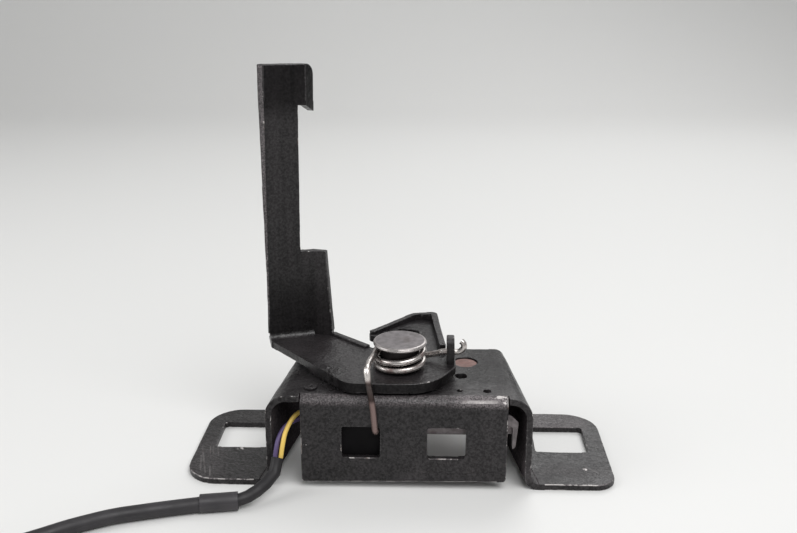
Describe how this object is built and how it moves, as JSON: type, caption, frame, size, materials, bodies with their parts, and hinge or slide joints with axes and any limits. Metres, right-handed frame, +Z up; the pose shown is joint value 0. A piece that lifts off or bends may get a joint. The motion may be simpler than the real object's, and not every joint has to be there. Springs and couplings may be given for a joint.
{
  "type": "bonnet_latch",
  "caption": "Car bonnet latch of black pressed steel with a tall safety lever, torsion spring, rotary claw, release pawl and a contact switch on a lead",
  "frame": {"origin": "where the safety lever's pivot axis meets the plane of the ears' undersides", "axes": "+Z up out of the panel along the lever's pivot, +X across the ears to the right, +Y back towards the hook, so the front flange faces -Y"},
  "size_m": [0.2564, 0.1927, 0.156],
  "materials": {
    "black_paint": "worn satin black paint with chips to bare steel at the edges",
    "bare_steel": "dull grey steel with light oxide",
    "spring_steel": "drawn spring wire, brownish where dirty",
    "black_plastic": "moulded black nylon",
    "pale_plastic": "natural nylon",
    "yellow_insulation": "soft yellow wire insulation",
    "violet_insulation": "soft violet wire insulation",
    "cable_sheath": "satin black cable sheath",
    "seal_rubber": "matt brown rubber",
    "contact_brass": "bright brass contacts"
  },
  "bodies": {
    "frame": {"bracket": "black_paint", "pivot_rivet": "bare_steel", "lever_washer": "black_paint", "lever_spring": "spring_steel", "claw_rivet": "bare_steel", "claw_spacer": "bare_steel", "claw_spring": "spring_steel", "pawl_spacer": "bare_steel", "pawl_washer": "bare_steel", "pawl_spring": "spring_steel", "switch_housing": "black_plastic", "switch_cover": "black_plastic", "switch_rivets": "bare_steel", "wire_yellow": "yellow_insulation", "wire_violet": "violet_insulation", "lead_boot": "cable_sheath", "lead_cable": "cable_sheath", "lead_sleeve": "cable_sheath", "lead_coil": "cable_sheath", "lead_tie": "pale_plastic", "lead_tail": "cable_sheath", "plug_housing": "black_plastic", "plug_seal": "seal_rubber", "plug_lock": "black_plastic", "plug_pins": "contact_brass"},
    "lever": {"safety_lever": "black_paint"},
    "claw_body": {"claw": "bare_steel"},
    "pawl": {"release_pawl": "bare_steel"},
    "plunger": {"switch_plunger": "pale_plastic"}
  },
  "joints": [
    {"name": "lever_swing", "type": "hinge", "parent": "frame", "child": "lever", "pos_m": [0, 0, 0.0415], "axis": [0, 0, 1], "range_deg": [-40, 0], "stiffness_Nm_per_rad": 0.4, "springref_deg": 34.38, "deforming": ["lever_spring"]},
    {"name": "claw_turn", "type": "hinge", "parent": "frame", "child": "claw_body", "pos_m": [0.026, 0.0175, 0.02025], "axis": [0, 0, 1], "range_deg": [0, 45], "stiffness_Nm_per_rad": 0.15, "springref_deg": -45.84, "deforming": ["claw_spring"]},
    {"name": "pawl_turn", "type": "hinge", "parent": "frame", "child": "pawl", "pos_m": [0, 0, 0.02025], "axis": [0, 0, 1], "range_deg": [-6, 0], "stiffness_Nm_per_rad": 0.2, "springref_deg": 34.38, "deforming": ["pawl_spring"]},
    {"name": "plunger_slide", "type": "slide", "parent": "frame", "child": "plunger", "axis": [0, 1, 0], "range_m": [0, 0.0015]}
  ],
  "couplings": [
    {"joint": "plunger_slide", "follows": "pawl_turn", "m_per_rad": -0.01432}
  ]
}
